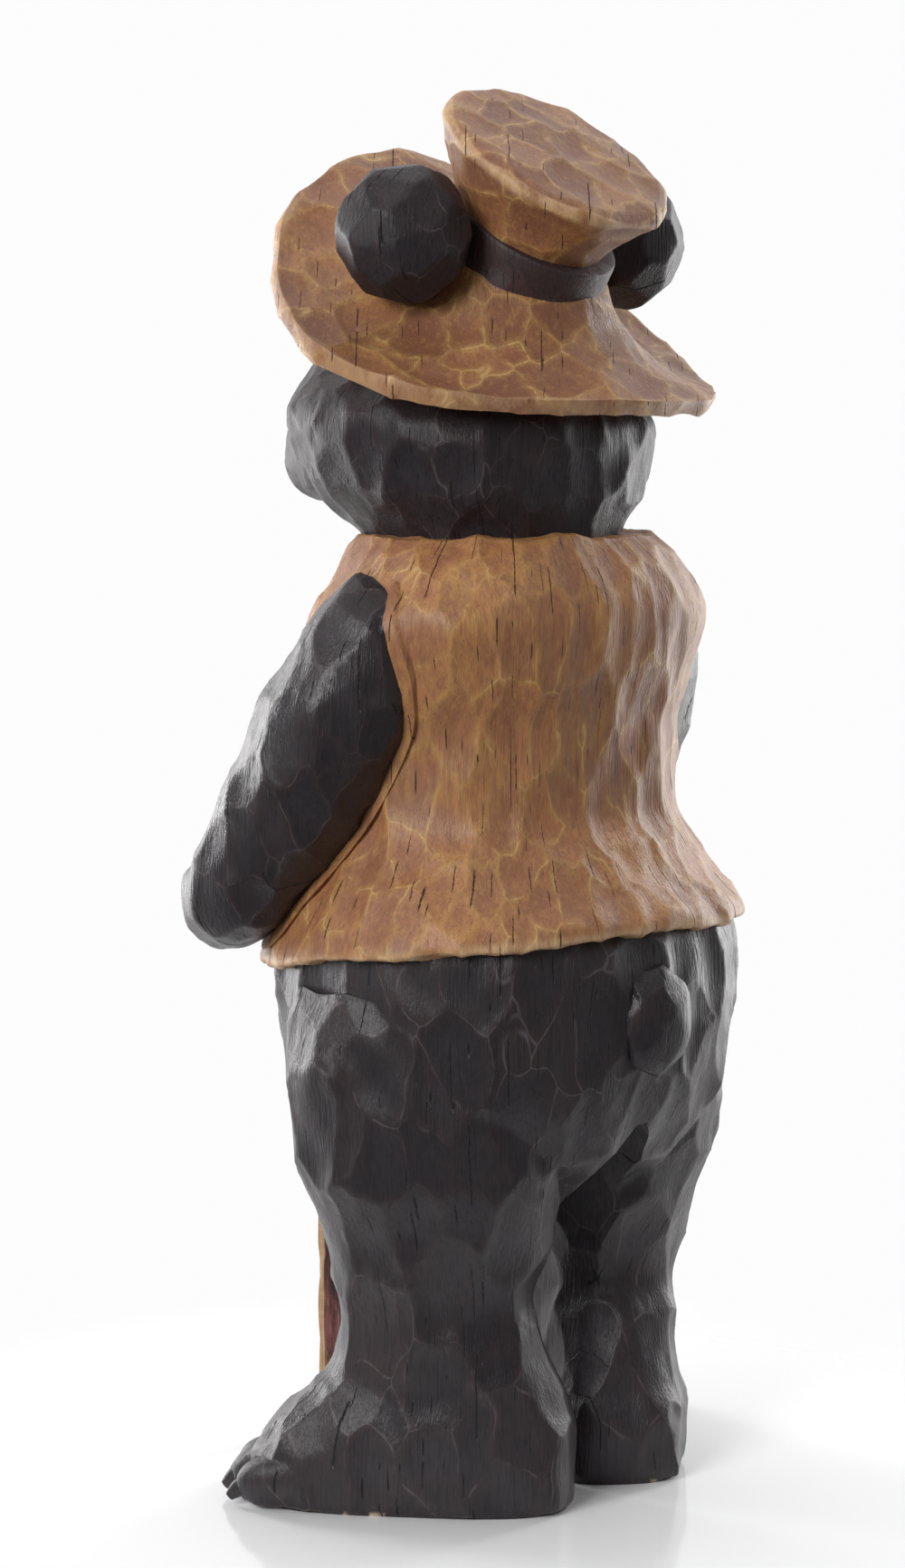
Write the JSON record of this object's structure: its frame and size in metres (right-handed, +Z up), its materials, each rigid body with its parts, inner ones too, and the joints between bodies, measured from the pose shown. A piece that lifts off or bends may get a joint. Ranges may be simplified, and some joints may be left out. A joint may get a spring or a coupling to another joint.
{
  "type": "carved wooden bear statue",
  "caption": "Standing carved bear in a brimmed hat and sleeveless vest, hewn all over with a gouge, its paws around a bark-backed half log.",
  "frame": {"origin": "middle of the figure's bounding box, on the floor under the soles", "axes": "+Z up, the bear looks along -Y, its left side is on +X"},
  "size_m": [0.3972, 0.3334, 0.9094],
  "materials": {
    "painted_wood": "satin",
    "bark": "rough"
  },
  "bodies": {
    "root": {"bear": "painted_wood", "bark_post": "bark"}
  },
  "joints": []
}
